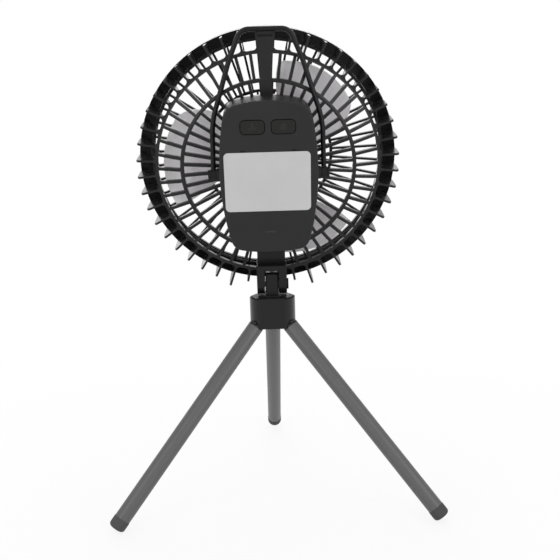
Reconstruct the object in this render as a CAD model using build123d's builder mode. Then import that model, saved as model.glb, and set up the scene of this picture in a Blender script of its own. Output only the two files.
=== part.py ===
"""Rechargeable camping fan on a folding table tripod, as an assembly of separate pieces.

Millimetres, +Z up, floor at z = 0, hub axis on the Z axis, air blown towards +Y.
Head sizes are given in the head's own frame: x across, y up, z towards the rear, measured from the
centre of the corner ring of the rear guard. A depth is a distance along that z, negative in front.
"""
import os
from math import cos, hypot, pi, radians, sin, tan

from build123d import *

# Shared fits
OVERRUN = 5.0              # how far a cut runs past the material
SCREW_CLEARANCE = 0.05     # radial room of a fixed screw or pin in its hole
RUN_CLEARANCE = 0.08       # radial room of a shaft or spindle that turns
SEAT_CLEARANCE = 0.1       # room between pieces that are seated on each other

# Tripod
LEG_AZIMUTHS = {"front": 90.0, "rear_left": 210.0, "rear_right": 330.0}
LEG_SPREAD = 42.8          # degrees from the vertical with the legs open
LEG_REACH = 172.9          # pivot to the end of the foot
LEG_PIVOT_RADIUS = 8.5
LEG_PIVOT_RISE = 6.8       # pivot above the underside of the hub
TUBE_RADIUS = 5.5
TUBE_WALL = 0.8
PLUG_LENGTH = 12.0
EYE_RADIUS = 3.8
EYE_WIDTH = 7.0
COLLAR_START = 7.6         # pivot to the collar that covers the tube's end
COLLAR_THICKNESS = 1.5
PIN_RADIUS = 1.5
PIN_LENGTH = 18.0
SLOT_GAP = 0.4
FOOT_RADIUS = 5.7
FOOT_LENGTH = 7.5
FOOT_PLUG = 9.0            # how far the foot goes up into the tube
FOOT_EDGE = 2.6
HUB_RADIUS = 16.0
HUB_FLAT = 13.5            # hub axis to the flats between the legs
HUB_HEIGHT = 21.6
HUB_EDGE = 0.8

# Neck
TURNTABLE_RADIUS = 10.0
TURNTABLE_THICKNESS = 1.0
SPINDLE_RADIUS = 4.0
SPINDLE_LENGTH = 7.0
SWIVEL_SCREW_RADIUS = 1.5
SWIVEL_HEAD_RADIUS = 2.6
SWIVEL_HEAD_HEIGHT = 2.2
SWIVEL_THREAD = 5.0        # how far the swivel screw goes into the spindle
SWIVEL_BORE_DEPTH = 6.0
WASHER_THICKNESS = 0.5
TILT_RISE = 8.0            # tilt axis above the top of the hub
TONGUE_TOP = 8.8           # tilt axis to the top of the tongue
TONGUE_WIDTH = 9.0
TONGUE_DEPTH = 10.0
TONGUE_ROUND = 2.5
TONGUE_EDGE = 0.5
FORK_RADIUS = 6.6
FORK_WIDTH = 20.8
FORK_SLOT = 10.2
FORK_ROOF = 12.0            # tilt axis to the roof of the slot
FORK_RISE = 15.8           # tilt axis to the top of the fork block
FORK_EDGE = 1.0
STEM_WIDTH = 19.4
STEM_DEPTH = 10.6
STEM_ENTRY = 5.6           # how far the stem goes into the pod
BOLT_RADIUS = 2.0
BOLT_HEAD_RADIUS = 3.8
BOLT_HEAD_HEIGHT = 1.2
NUT_WIDTH = 7.0
NUT_HEIGHT = 3.0
PAD_RADIUS = 5.5
PAD_THICKNESS = 0.35

# Head
HEAD_TILT = 11.0           # degrees, air blown slightly upwards
HEAD_RISE = 80.4           # tilt axis to the fan axis, square to the fan axis
HEAD_FORE = 20.0           # tilt axis to the corner ring, along the fan axis

# Rear guard
BAR_COUNT = 48
FIN_REACH = 14.0           # corner ring to the barrel's outside
CORNER_RING_WIDTH = 2.2
RING_SPACING = 17.6        # middle ring to the corner ring
MIDDLE_RING_WIDTH = 2.6
FACE_THICKNESS = 3.0
FACE_RISE = 5.9            # middle ring behind the corner ring
BAR_WIDTH = 2.1
FIN_THICKNESS = 1.5
BARREL_RADIUS = 90.5
FIN_TIP_DEPTH = 2.3
FIN_TIP_EDGE = 1.3
FIN_ROOT = 4.0             # corner ring to the outside of its lip
FIN_ROUND = 3.0            # rounding where the side windows meet the corner ring
FIN_FOOT_STEP = 3.0        # longer and shorter fins beside the neck
FIN_FOOT_ANGLE = 18.75     # degrees from the bottom to the longer fins
BAND_REAR = -19.0
BAND_FRONT = -29.0
BAND_WALL = 1.4
BAND_WIDTH = 7.4          # throat to the barrel's outside
THROAT_DEPTH = -25.0
STRUT_BEND = 7.0
STRUT_PROUD = 0.4          # strut and pod plate stand out from the face by this much

# Pod
POD_DROP = 2.1             # middle of the pod below the fan axis
POD_HALF_WIDTH = 32.6
POD_HALF_HEIGHT = 51.5
POD_TOP_SHARES = (0.85, 0.91)
POD_BOTTOM_SHARES = (0.77, 0.945)
POD_TOP_ROUND = 11.0
POD_BOTTOM_ROUND = 9.0
POD_WALL = 2.0
POD_FLOOR = 1.6
POD_JOINT_DEPTH = 21.0     # where the cover meets the housing
POD_REAR_DEPTH = 29.0
COVER_PLATE = 2.0
COVER_ROUND = 1.2
BOSS_RADIUS = 3.5
COVER_SCREW_SHARES = ((-0.52, 0.338), (0.52, 0.338), (-0.675, -0.228), (0.675, -0.228))
COVER_SCREW_RADIUS = 1.3
COVER_HEAD_RADIUS = 2.3
COVER_HEAD_HEIGHT = 1.2
COVER_SCREW_LENGTH = 10.0
COVER_SCREW_SINK = 0.5
GUARD_SCREW_SHARES = ((-0.5, 0.817), (0.5, 0.817), (-0.782, -0.443), (0.782, -0.443))
GUARD_SCREW_LENGTH = 8.0
FORK_SCREW_SPACING = 10.0
FORK_SCREW_DROP = 50.5     # fork screws below the fan axis
LABEL_WIDTH = 57.0
LABEL_HEIGHT = 40.0
LABEL_THICKNESS = 0.3
LABEL_ROUND = 3.0
LABEL_DROP = 1.75          # below the middle of the pod
LABEL_SHIFT = 1.0          # stuck on a little to the left
INDICATOR_WIDTH = 6.8
INDICATOR_HEIGHT = 1.2
INDICATOR_DROP = 36.4      # below the middle of the pod
INDICATOR_LENGTH = 3.0

# Buttons and board
BUTTON_WIDTH = 15.6
BUTTON_HEIGHT = 9.0
BUTTON_ROUND = 3.0
BUTTON_SPACING = 20.1
BUTTON_RISE = 34.6         # above the middle of the pod
BUTTON_GAP = 0.35
BUTTON_PROUD = 0.6
BUTTON_DOME = 0.6
BUTTON_FLANGE = 0.9
BUTTON_FLANGE_THICKNESS = 1.0
BUTTON_TRAVEL = 0.6
BOARD_WIDTH = 46.0
BOARD_HEIGHT = 18.0
BOARD_THICKNESS = 1.6
SWITCH_WIDTH = 6.0
SWITCH_HEIGHT = 2.4
PLUNGER_RADIUS = 1.7
POST_RADIUS = 2.5
USB_WIDTH = 8.94
USB_HEIGHT = 3.26
USB_LENGTH = 7.4
USB_SHELL = 0.3
USB_TONGUE = 0.7
USB_DROP = 4.0             # socket below the middle of the board

# Battery
BATTERY_WIDTH = 42.0
BATTERY_HEIGHT = 26.0
BATTERY_THICKNESS = 9.0
BATTERY_ROUND = 3.0
BATTERY_DROP = 29.0        # below the middle of the pod
BATTERY_PAD = 0.8

# Motor and blades
MOTOR_RADIUS = 14.0
MOTOR_LENGTH = 14.0
MOTOR_WALL = 1.0
MOTOR_BOSS_RADIUS = 5.0
MOTOR_SCREW_SPACING = 17.0
MOTOR_SCREW_RADIUS = 1.0
MOTOR_SCREW_HEAD = 2.0
BUSH_RADIUS = 3.0
BUSH_LENGTH = 3.0
SHAFT_RADIUS = 1.5
ROTOR_RADIUS = 10.5
ROTOR_LENGTH = 6.0
BLADE_COUNT = 3
BLADE_ANGLE = 51.0         # degrees, middle of the first blade seen from behind
BLADE_GAP = 3.5            # blade tips to the corner ring
BLADE_THICKNESS = 1.8
BLADE_MIDDLE = -14.6       # depth of the blades' middle
BLADE_CAMBER = 2.2
BLADE_ROUND = 7.0
BLADE_SECTION_SHARES = ((0.09, 0.28, 0.80), (0.55, 0.50, 0.40), (1.1, 0.72, 0.26))
BLADE_TRAIL_SHARES = ((0.17, -34.0), (0.48, -36.0), (0.66, -33.5), (0.81, -28.0), (0.96, -18.0))
BLADE_LEAD_SHARES = ((0.96, 32.0), (0.80, 32.5), (0.58, 29.0), (0.17, 18.0))
BLADE_HUB_RADIUS = 15.0
BLADE_HUB_REAR = -1.5
BLADE_HUB_FRONT = -25.0
BLADE_HUB_WALL = 2.0
BLADE_HUB_ROUND = 4.0
BLADE_BOSS_RADIUS = 4.0
SHAFT_FRONT = -20.0

# Lamp ring and front guard
LAMP_BOARD_THICKNESS = 0.8
LAMP_GAP = 0.3
LED_COUNT = 24
LED_LENGTH = 3.0
LED_WIDTH = 1.4
LED_HEIGHT = 0.6
DIFFUSER_THICKNESS = 1.6
DIFFUSER_EDGE = 0.7
FRONT_RING_WIDTH = 1.6
FRONT_RING_REAR = -25.4
FRONT_RING_FRONT = -30.2
FRONT_RISE = 6.0           # how far the front guard bulges in front of its ring
FRONT_SHOULDER_SHARE = 0.72
FRONT_THICKNESS = 2.4
FRONT_BAR_WIDTH = 1.6
FRONT_MIDDLE_RADIUS = 46.0
FRONT_MIDDLE_WIDTH = 2.2
FRONT_CAP_RADIUS = 20.0
FRONT_INNER_COUNT = 24

# Bail
BAIL_WIRE_RADIUS = 1.7
BAIL_PIVOT_DROP = 2.0      # below the fan axis
BAIL_PIVOT_DEPTH = 14.5
BAIL_HALF_WIDTH = 37.3
BAIL_SHOULDER_SHARES = (0.981, 0.375)
BAIL_TAPER_SHARES = (0.643, 0.794)
BAIL_TOP_HALF = 15.8
BAIL_TOP = 91.4            # above the fan axis
BAIL_TOP_DEPTH = 7.0
BAIL_SIDE_BEND = 60.0
BAIL_TAPER_BEND = 90.0
BAIL_TOP_BEND = 8.0
BAIL_EYE_RADIUS = 4.2
BAIL_EYE_THICKNESS = 3.8
BAIL_BOSS_RADIUS = 4.5
BAIL_PIN_RADIUS = 2.0
BAIL_PIN_HEAD = 3.4
BAIL_PIN_HEAD_HEIGHT = 1.4
BAIL_SIDE_GAP = 0.3

# Places that follow from the sizes above
SPREAD = radians(LEG_SPREAD)
FOOT_HEIGHT = (FOOT_RADIUS - FOOT_EDGE) * sin(SPREAD) + FOOT_EDGE * (1 - cos(SPREAD))
LEG_PIVOT_Z = LEG_REACH * cos(SPREAD) + FOOT_HEIGHT
HUB_BOTTOM = LEG_PIVOT_Z - LEG_PIVOT_RISE
HUB_TOP = HUB_BOTTOM + HUB_HEIGHT
TUBE_START = COLLAR_START + COLLAR_THICKNESS
TILT_Z = HUB_TOP + TILT_RISE
TILT = radians(HEAD_TILT)
HEAD_CENTRE = Vector(
    0,
    HEAD_FORE * cos(TILT) - HEAD_RISE * sin(TILT),
    TILT_Z + HEAD_FORE * sin(TILT) + HEAD_RISE * cos(TILT),
)
HEAD = Plane(origin=HEAD_CENTRE, x_dir=(1, 0, 0), z_dir=(0, -cos(TILT), -sin(TILT)))
FAN_AXIS = Axis(HEAD.origin, HEAD.z_dir)
CORNER_RING_RADIUS = BARREL_RADIUS - FIN_REACH
MIDDLE_RING_RADIUS = CORNER_RING_RADIUS - RING_SPACING
FIN_ROOT_RADIUS = CORNER_RING_RADIUS + FIN_ROOT
THROAT_RADIUS = BARREL_RADIUS - BAND_WIDTH
BLADE_RADIUS = CORNER_RING_RADIUS - BLADE_GAP
FACE_REAR = FACE_RISE + FACE_THICKNESS / 2
FACE_FRONT = FACE_RISE - FACE_THICKNESS / 2
PLATE_REAR = FACE_REAR + STRUT_PROUD
PLATE_FRONT = FACE_FRONT - STRUT_PROUD
FLOOR_REAR = PLATE_REAR + POD_FLOOR
STEM_MIDDLE = FLOOR_REAR + SEAT_CLEARANCE + STEM_DEPTH / 2
MOTOR_REAR = FLOOR_REAR + MOTOR_LENGTH
HALF_PITCH = 180 / BAR_COUNT
FORK_SCREW_PLACES = [(way * FORK_SCREW_SPACING / 2, -FORK_SCREW_DROP) for way in (-1, 1)]
MOTOR_SCREW_PLACES = [(way * MOTOR_SCREW_SPACING / 2, 0) for way in (-1, 1)]

os.makedirs("parts", exist_ok=True)


def save(built, name):
    """Label a finished piece and write its file."""
    built.part.label = name
    export_step(built.part, f"parts/{name}.step")


def section(angle=0.0):
    """Plane through the fan axis: x is the radius at that angle, y is the depth."""
    out = HEAD.x_dir * cos(radians(angle)) + HEAD.y_dir * sin(radians(angle))
    return Plane(origin=HEAD.origin, x_dir=out, z_dir=out.cross(HEAD.z_dir))


def side(x=0.0):
    """Plane square to the head's x axis: x is the depth, y is the height."""
    return Plane(origin=HEAD.origin + HEAD.x_dir * x, x_dir=HEAD.z_dir, z_dir=HEAD.x_dir * -1)


def pod_outline(depth, inset=0.0):
    """Face in the shape of the pod, seen from behind, at a depth, drawn in by an even inset."""
    half_width, half_height = POD_HALF_WIDTH - inset, POD_HALF_HEIGHT - inset
    top_x, low_x = half_width * POD_TOP_SHARES[0], half_width * POD_BOTTOM_SHARES[0]
    top = half_height * POD_TOP_SHARES[1] - POD_DROP
    low = -half_height * POD_BOTTOM_SHARES[1] - POD_DROP
    with BuildSketch(HEAD.offset(depth)) as outline:
        with BuildLine():
            ThreePointArc((top_x, top), (0, half_height - POD_DROP), (-top_x, top))
            ThreePointArc((-top_x, top), (-half_width, -POD_DROP), (-low_x, low))
            ThreePointArc((-low_x, low), (0, -half_height - POD_DROP), (low_x, low))
            ThreePointArc((low_x, low), (half_width, -POD_DROP), (top_x, top))
        make_face()
        fillet(outline.vertices().group_by(Axis.Y)[-1], POD_TOP_ROUND - inset)
        fillet(outline.vertices().group_by(Axis.Y)[0], POD_BOTTOM_ROUND - inset)
    return outline.sketch


def spoke_windows(depth, inner, outer, bar, count, start, rounding=0.0):
    """Faces of the gaps between straight radial bars of one width, from one radius to another."""
    half = pi / count

    def half_gap(radius):
        return radius * tan(half) - bar / 2 / cos(half)

    with BuildSketch(HEAD.offset(depth)) as windows:
        with PolarLocations(0, count, start_angle=start):
            Polygon(
                (inner, -half_gap(inner)), (outer, -half_gap(outer)),
                (outer, half_gap(outer)), (inner, half_gap(inner)), align=None,
            )
        if rounding:
            fillet(windows.vertices().filter_by(lambda v: hypot(v.X, v.Y) < (inner + outer) / 2), rounding)
    return windows.sketch


def pod_places(shares):
    """Points given as shares of the pod's half sizes from its middle, in the head's frame."""
    return [(x * POD_HALF_WIDTH, y * POD_HALF_HEIGHT - POD_DROP) for x, y in shares]


# Tripod hub: a round block with three flats, and a slot, a pocket and a pin hole for each leg
with BuildPart() as tripod_hub:
    with BuildSketch(Plane.XY.offset(HUB_BOTTOM)):
        Circle(HUB_RADIUS)
        RegularPolygon(HUB_FLAT, 3, major_radius=False, rotation=LEG_AZIMUTHS["front"], mode=Mode.INTERSECT)
    extrude(amount=HUB_HEIGHT)
    chamfer(tripod_hub.faces().sort_by(Axis.Z)[-1].edges(), HUB_EDGE)
    for azimuth in LEG_AZIMUTHS.values():
        out = Vector(cos(radians(azimuth)), sin(radians(azimuth)), 0)
        across = Vector(-out.Y, out.X, 0)
        down = out * sin(SPREAD) - Vector(0, 0, cos(SPREAD))
        pivot = out * LEG_PIVOT_RADIUS + Vector(0, 0, LEG_PIVOT_Z)
        with BuildSketch(Plane(origin=pivot, x_dir=down, z_dir=across)):
            Circle(EYE_RADIUS + SLOT_GAP)
            with Locations((HUB_RADIUS, 0), (HUB_RADIUS * cos(SPREAD), HUB_RADIUS * sin(SPREAD))):
                Circle(EYE_RADIUS + SLOT_GAP)
            make_hull()
        extrude(amount=EYE_WIDTH / 2 + SLOT_GAP, both=True, mode=Mode.SUBTRACT)
        with BuildSketch(Plane(origin=pivot + down * (COLLAR_START - SLOT_GAP), x_dir=across, z_dir=down)):
            Circle(TUBE_RADIUS + SLOT_GAP)
        extrude(amount=HUB_RADIUS, mode=Mode.SUBTRACT)
        with BuildSketch(Plane(origin=pivot, x_dir=down, z_dir=across)):
            Circle(PIN_RADIUS + SCREW_CLEARANCE)
        extrude(amount=PIN_LENGTH / 2, both=True, mode=Mode.SUBTRACT)
    with Locations(Plane.XY.offset(HUB_TOP)):
        Hole(SPINDLE_RADIUS + RUN_CLEARANCE, depth=SPINDLE_LENGTH + SEAT_CLEARANCE)
        Hole(SWIVEL_SCREW_RADIUS + SEAT_CLEARANCE, depth=HUB_HEIGHT)
    with Locations(Plane.XY.offset(HUB_BOTTOM + SWIVEL_BORE_DEPTH)):
        Hole(SWIVEL_HEAD_RADIUS + SEAT_CLEARANCE, depth=SWIVEL_BORE_DEPTH)
save(tripod_hub, "tripod_hub")

# Leg pins: three plain pins pressed into the hub
with BuildPart() as leg_pins:
    for azimuth in LEG_AZIMUTHS.values():
        out = Vector(cos(radians(azimuth)), sin(radians(azimuth)), 0)
        pivot = out * LEG_PIVOT_RADIUS + Vector(0, 0, LEG_PIVOT_Z)
        with BuildSketch(Plane(origin=pivot, x_dir=(0, 0, 1), z_dir=(-out.Y, out.X, 0))):
            Circle(PIN_RADIUS)
        extrude(amount=PIN_LENGTH / 2 - SEAT_CLEARANCE, both=True)
save(leg_pins, "leg_pins")

# Legs: a knuckle with its eye and plug, a tube, and a rubber foot on each
for leg, azimuth in LEG_AZIMUTHS.items():
    out = Vector(cos(radians(azimuth)), sin(radians(azimuth)), 0)
    across = Vector(-out.Y, out.X, 0)
    down = out * sin(SPREAD) - Vector(0, 0, cos(SPREAD))
    pivot = out * LEG_PIVOT_RADIUS + Vector(0, 0, LEG_PIVOT_Z)
    hinge = Plane(origin=pivot, x_dir=down, z_dir=across)
    along = Plane(origin=pivot, x_dir=across, z_dir=down)
    with BuildPart() as knuckle:
        with BuildSketch(hinge):
            Circle(EYE_RADIUS)
            with Locations((TUBE_START / 2, 0)):
                Rectangle(TUBE_START, 2 * EYE_RADIUS)
        extrude(amount=EYE_WIDTH / 2, both=True)
        with BuildSketch(along.offset(COLLAR_START)):
            Circle(TUBE_RADIUS)
        extrude(amount=COLLAR_THICKNESS)
        with BuildSketch(along.offset(TUBE_START)):
            Circle(TUBE_RADIUS - TUBE_WALL - SEAT_CLEARANCE)
        extrude(amount=PLUG_LENGTH)
        with BuildSketch(hinge):
            Circle(PIN_RADIUS + RUN_CLEARANCE)
        extrude(amount=EYE_WIDTH, both=True, mode=Mode.SUBTRACT)
    save(knuckle, f"leg_knuckle_{leg}")
    with BuildPart() as tube:
        with BuildSketch(along.offset(TUBE_START)):
            Circle(TUBE_RADIUS)
            Circle(TUBE_RADIUS - TUBE_WALL, mode=Mode.SUBTRACT)
        extrude(amount=LEG_REACH - FOOT_LENGTH - TUBE_START)
    save(tube, f"leg_tube_{leg}")
    with BuildPart() as foot:
        with BuildSketch(along.offset(LEG_REACH - FOOT_LENGTH)):
            Circle(FOOT_RADIUS)
        extrude(amount=FOOT_LENGTH)
        fillet(foot.faces().sort_by(Axis(pivot, down))[-1].edges(), FOOT_EDGE)
        with BuildSketch(along.offset(LEG_REACH - FOOT_LENGTH - FOOT_PLUG)):
            Circle(TUBE_RADIUS - TUBE_WALL - SEAT_CLEARANCE)
        extrude(amount=FOOT_PLUG)
    save(foot, f"leg_foot_{leg}")

# Neck knuckle: a turntable on a spindle, with the tongue of the tilt joint
TONGUE_FOOT = HUB_TOP + TURNTABLE_THICKNESS / 2
with BuildPart() as neck_knuckle:
    with BuildSketch(Plane.XY.offset(HUB_TOP + SEAT_CLEARANCE)):
        Circle(TURNTABLE_RADIUS)
    extrude(amount=TURNTABLE_THICKNESS - SEAT_CLEARANCE)
    with BuildSketch(Plane.XY.offset(HUB_TOP - SPINDLE_LENGTH)):
        Circle(SPINDLE_RADIUS)
    extrude(amount=SPINDLE_LENGTH + TURNTABLE_THICKNESS)
    with BuildSketch(Plane.YZ) as lug:
        with Locations((0, (TONGUE_FOOT + TILT_Z + TONGUE_TOP) / 2)):
            Rectangle(TONGUE_DEPTH, TILT_Z + TONGUE_TOP - TONGUE_FOOT)
        fillet(lug.vertices().group_by(Axis.Y)[-1], TONGUE_ROUND)
    extrude(amount=TONGUE_WIDTH / 2, both=True)
    chamfer(
        neck_knuckle.faces().filter_by(Axis.X).edges().filter_by(
            lambda e: e.center().Z > HUB_TOP + 2 * TURNTABLE_THICKNESS), TONGUE_EDGE)
    with BuildSketch(Plane.YZ):
        with Locations((0, TILT_Z)):
            Circle(BOLT_RADIUS + RUN_CLEARANCE)
    extrude(amount=FORK_WIDTH, both=True, mode=Mode.SUBTRACT)
    with Locations(Plane.XY.offset(HUB_TOP - SPINDLE_LENGTH + SWIVEL_THREAD)):
        Hole(SWIVEL_SCREW_RADIUS + SCREW_CLEARANCE, depth=SWIVEL_THREAD)
save(neck_knuckle, "neck_knuckle")

# Swivel screw and its washer, from under the hub
SWIVEL_SEAT = HUB_BOTTOM + SWIVEL_BORE_DEPTH - WASHER_THICKNESS - SEAT_CLEARANCE
with BuildPart() as swivel_screw:
    with BuildSketch(Plane.XY.offset(SWIVEL_SEAT - SWIVEL_HEAD_HEIGHT)):
        Circle(SWIVEL_HEAD_RADIUS)
    extrude(amount=SWIVEL_HEAD_HEIGHT)
    with BuildSketch(Plane.XY.offset(SWIVEL_SEAT)):
        Circle(SWIVEL_SCREW_RADIUS)
    extrude(amount=HUB_TOP - SPINDLE_LENGTH + SWIVEL_THREAD - SEAT_CLEARANCE - SWIVEL_SEAT)
save(swivel_screw, "swivel_screw")

with BuildPart() as swivel_washer:
    with BuildSketch(Plane.XY.offset(SWIVEL_SEAT)):
        Circle(SWIVEL_HEAD_RADIUS)
        Circle(SWIVEL_SCREW_RADIUS + SCREW_CLEARANCE, mode=Mode.SUBTRACT)
    extrude(amount=WASHER_THICKNESS)
save(swivel_washer, "swivel_washer")

# Neck fork: two ears round the tongue, and a stem that goes up into the pod
STEM_TOP = STEM_ENTRY - POD_HALF_HEIGHT - POD_DROP
with BuildPart() as neck_fork:
    with BuildSketch(side()):
        with Locations((HEAD_FORE, -HEAD_RISE)):
            Circle(FORK_RADIUS)
        with Locations((HEAD_FORE, FORK_RISE / 2 - HEAD_RISE)):
            Rectangle(2 * FORK_RADIUS, FORK_RISE)
    extrude(amount=FORK_WIDTH / 2, both=True)
    fillet(neck_fork.edges().filter_by(Axis(HEAD.origin, HEAD.z_dir)), FORK_EDGE)
    with BuildSketch(side()):
        with Locations((STEM_MIDDLE, (STEM_TOP + FORK_RISE - HEAD_RISE) / 2)):
            Rectangle(STEM_DEPTH, STEM_TOP - FORK_RISE + HEAD_RISE)
    extrude(amount=STEM_WIDTH / 2, both=True)
    with BuildSketch(side()):
        with Locations((HEAD_FORE, (FORK_ROOF - FORK_RISE) / 2 - HEAD_RISE)):
            Rectangle(2 * FORK_RISE, FORK_ROOF + FORK_RISE)
    extrude(amount=FORK_SLOT / 2, both=True, mode=Mode.SUBTRACT)
    with BuildSketch(side()):
        with Locations((HEAD_FORE, -HEAD_RISE)):
            Circle(BOLT_RADIUS + SCREW_CLEARANCE)
    extrude(amount=FORK_WIDTH, both=True, mode=Mode.SUBTRACT)
    with BuildSketch(side(-FORK_WIDTH / 2 + NUT_HEIGHT)):
        with Locations((HEAD_FORE, -HEAD_RISE)):
            RegularPolygon(NUT_WIDTH / 2 + SEAT_CLEARANCE, 6, major_radius=False)
    extrude(amount=FORK_WIDTH, mode=Mode.SUBTRACT)
    with BuildSketch(HEAD):
        with Locations(*FORK_SCREW_PLACES):
            Circle(COVER_SCREW_RADIUS + SCREW_CLEARANCE)
    extrude(amount=HEAD_FORE, mode=Mode.SUBTRACT)
save(neck_fork, "neck_fork")

# Tilt bolt, nut and friction pads
with BuildPart() as tilt_bolt:
    with BuildSketch(side(FORK_WIDTH / 2)):
        with Locations((HEAD_FORE, -HEAD_RISE)):
            Circle(BOLT_RADIUS)
    extrude(amount=FORK_WIDTH)
    with BuildSketch(side(FORK_WIDTH / 2 + BOLT_HEAD_HEIGHT)):
        with Locations((HEAD_FORE, -HEAD_RISE)):
            Circle(BOLT_HEAD_RADIUS)
    extrude(amount=BOLT_HEAD_HEIGHT)
save(tilt_bolt, "tilt_bolt")

with BuildPart() as tilt_nut:
    with BuildSketch(side(-FORK_WIDTH / 2 + NUT_HEIGHT)):
        with Locations((HEAD_FORE, -HEAD_RISE)):
            RegularPolygon(NUT_WIDTH / 2, 6, major_radius=False)
            Circle(BOLT_RADIUS + SCREW_CLEARANCE, mode=Mode.SUBTRACT)
    extrude(amount=NUT_HEIGHT)
save(tilt_nut, "tilt_nut")

with BuildPart() as tilt_pads:
    for x in (FORK_SLOT / 2 - SEAT_CLEARANCE, PAD_THICKNESS + SEAT_CLEARANCE - FORK_SLOT / 2):
        with BuildSketch(side(x)):
            with Locations((HEAD_FORE, -HEAD_RISE)):
                Circle(PAD_RADIUS)
                Circle(BOLT_RADIUS + SCREW_CLEARANCE, mode=Mode.SUBTRACT)
        extrude(amount=PAD_THICKNESS)
save(tilt_pads, "tilt_pads")

# Rear guard: a shallow cone of bars between rings, fins round the side, and the hollow front band
FACE_EDGE = MIDDLE_RING_RADIUS + MIDDLE_RING_WIDTH / 2
CORNER_EDGE = CORNER_RING_RADIUS + CORNER_RING_WIDTH / 2
HALF_FACE = FACE_THICKNESS / 2
BAND_INSIDE = BARREL_RADIUS - BAND_WALL


def fin_reach(angle):
    """Tip radius of the fin at an angle: longer and shorter fins stand beside the neck."""
    from_bottom = abs((angle + 90 + 180) % 360 - 180)
    if abs(from_bottom - FIN_FOOT_ANGLE) < HALF_PITCH:
        return BARREL_RADIUS + FIN_FOOT_STEP
    if from_bottom < FIN_FOOT_ANGLE:
        return BARREL_RADIUS - FIN_FOOT_STEP
    return BARREL_RADIUS


with BuildPart() as rear_guard:
    with BuildSketch(section()):
        Polygon(
            (0, FACE_FRONT), (MIDDLE_RING_RADIUS, FACE_FRONT), (CORNER_RING_RADIUS, -HALF_FACE),
            (FIN_ROOT_RADIUS, -HALF_FACE), (FIN_ROOT_RADIUS, HALF_FACE), (CORNER_RING_RADIUS, HALF_FACE),
            (MIDDLE_RING_RADIUS, FACE_REAR), (0, FACE_REAR), align=None,
        )
    revolve(axis=FAN_AXIS)
    extrude(
        spoke_windows(-OVERRUN, POD_HALF_WIDTH - POD_WALL, MIDDLE_RING_RADIUS - MIDDLE_RING_WIDTH / 2,
                      BAR_WIDTH, BAR_COUNT, 90),
        amount=FACE_REAR + 2 * OVERRUN, mode=Mode.SUBTRACT)
    extrude(
        spoke_windows(-OVERRUN, FACE_EDGE, CORNER_RING_RADIUS - CORNER_RING_WIDTH / 2,
                      BAR_WIDTH, BAR_COUNT, 90 + HALF_PITCH),
        amount=FACE_REAR + 2 * OVERRUN, mode=Mode.SUBTRACT)
    extrude(
        spoke_windows(-OVERRUN, CORNER_EDGE, BARREL_RADIUS, FIN_THICKNESS / 2, BAR_COUNT, 90, FIN_ROUND),
        amount=FACE_REAR + 2 * OVERRUN, mode=Mode.SUBTRACT)
    extrude(pod_outline(PLATE_FRONT), amount=PLATE_REAR - PLATE_FRONT)
    with BuildSketch(section()):
        Polygon(
            (BARREL_RADIUS, BAND_REAR), (THROAT_RADIUS, THROAT_DEPTH), (THROAT_RADIUS, BAND_FRONT),
            (THROAT_RADIUS + BAND_WALL, BAND_FRONT), (THROAT_RADIUS + BAND_WALL, THROAT_DEPTH - BAND_WALL),
            (BAND_INSIDE, BAND_REAR - BAND_WALL), (BAND_INSIDE, BAND_FRONT), (BARREL_RADIUS, BAND_FRONT),
            align=None,
        )
    revolve(axis=FAN_AXIS)
    for bar in range(BAR_COUNT):
        fin_angle = 90 + HALF_PITCH * (2 * bar + 1)
        tip = fin_reach(fin_angle)
        with BuildSketch(section(fin_angle)):
            Polygon(
                (CORNER_RING_RADIUS, HALF_FACE / 2), (tip - FIN_TIP_EDGE, FIN_TIP_DEPTH),
                (tip, FIN_TIP_DEPTH - FIN_TIP_EDGE), (tip, (FIN_TIP_DEPTH + BAND_REAR) / 2),
                (BARREL_RADIUS - BAND_WALL / 2, BAND_REAR - BAND_WALL / 2),
                ((THROAT_RADIUS + BARREL_RADIUS) / 2, (THROAT_DEPTH + BAND_REAR - BAND_WALL / 2) / 2),
                (CORNER_RING_RADIUS, -HALF_FACE / 2), align=None,
            )
    extrude(amount=FIN_THICKNESS / 2, both=True)
    with BuildSketch(section(90 - HALF_PITCH)):
        with BuildLine():
            inside = Polyline(
                (POD_HALF_WIDTH, PLATE_FRONT + STRUT_PROUD / 2),
                (MIDDLE_RING_RADIUS, FACE_FRONT - STRUT_PROUD), (FIN_ROOT_RADIUS, -HALF_FACE - STRUT_PROUD),
                (BAND_INSIDE, FIN_TIP_DEPTH - STRUT_BEND), (BAND_INSIDE, BAND_REAR - BAND_WALL / 2),
                (BARREL_RADIUS + STRUT_PROUD, BAND_REAR - BAND_WALL / 2),
                (BARREL_RADIUS + STRUT_PROUD, FIN_TIP_DEPTH - STRUT_BEND))
            bend = RadiusArc(
                inside @ 1, (BARREL_RADIUS + STRUT_PROUD - STRUT_BEND, FIN_TIP_DEPTH), -STRUT_BEND)
            Polyline(
                bend @ 1, (CORNER_RING_RADIUS, HALF_FACE + STRUT_PROUD),
                (MIDDLE_RING_RADIUS, FACE_REAR + STRUT_PROUD / 2),
                (POD_HALF_WIDTH, FACE_REAR + STRUT_PROUD / 2), inside @ 0)
        make_face()
    revolve(axis=FAN_AXIS, revolution_arc=2 * HALF_PITCH)
    with BuildSketch(HEAD.offset(PLATE_FRONT - OVERRUN)):
        Circle(MOTOR_BOSS_RADIUS + SEAT_CLEARANCE)
        with Locations(*pod_places(GUARD_SCREW_SHARES), *FORK_SCREW_PLACES):
            Circle(COVER_SCREW_RADIUS + SCREW_CLEARANCE)
        with Locations(*MOTOR_SCREW_PLACES):
            Circle(MOTOR_SCREW_RADIUS + SCREW_CLEARANCE)
    extrude(amount=PLATE_REAR + 2 * OVERRUN, mode=Mode.SUBTRACT)
save(rear_guard, "rear_guard")

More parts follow.
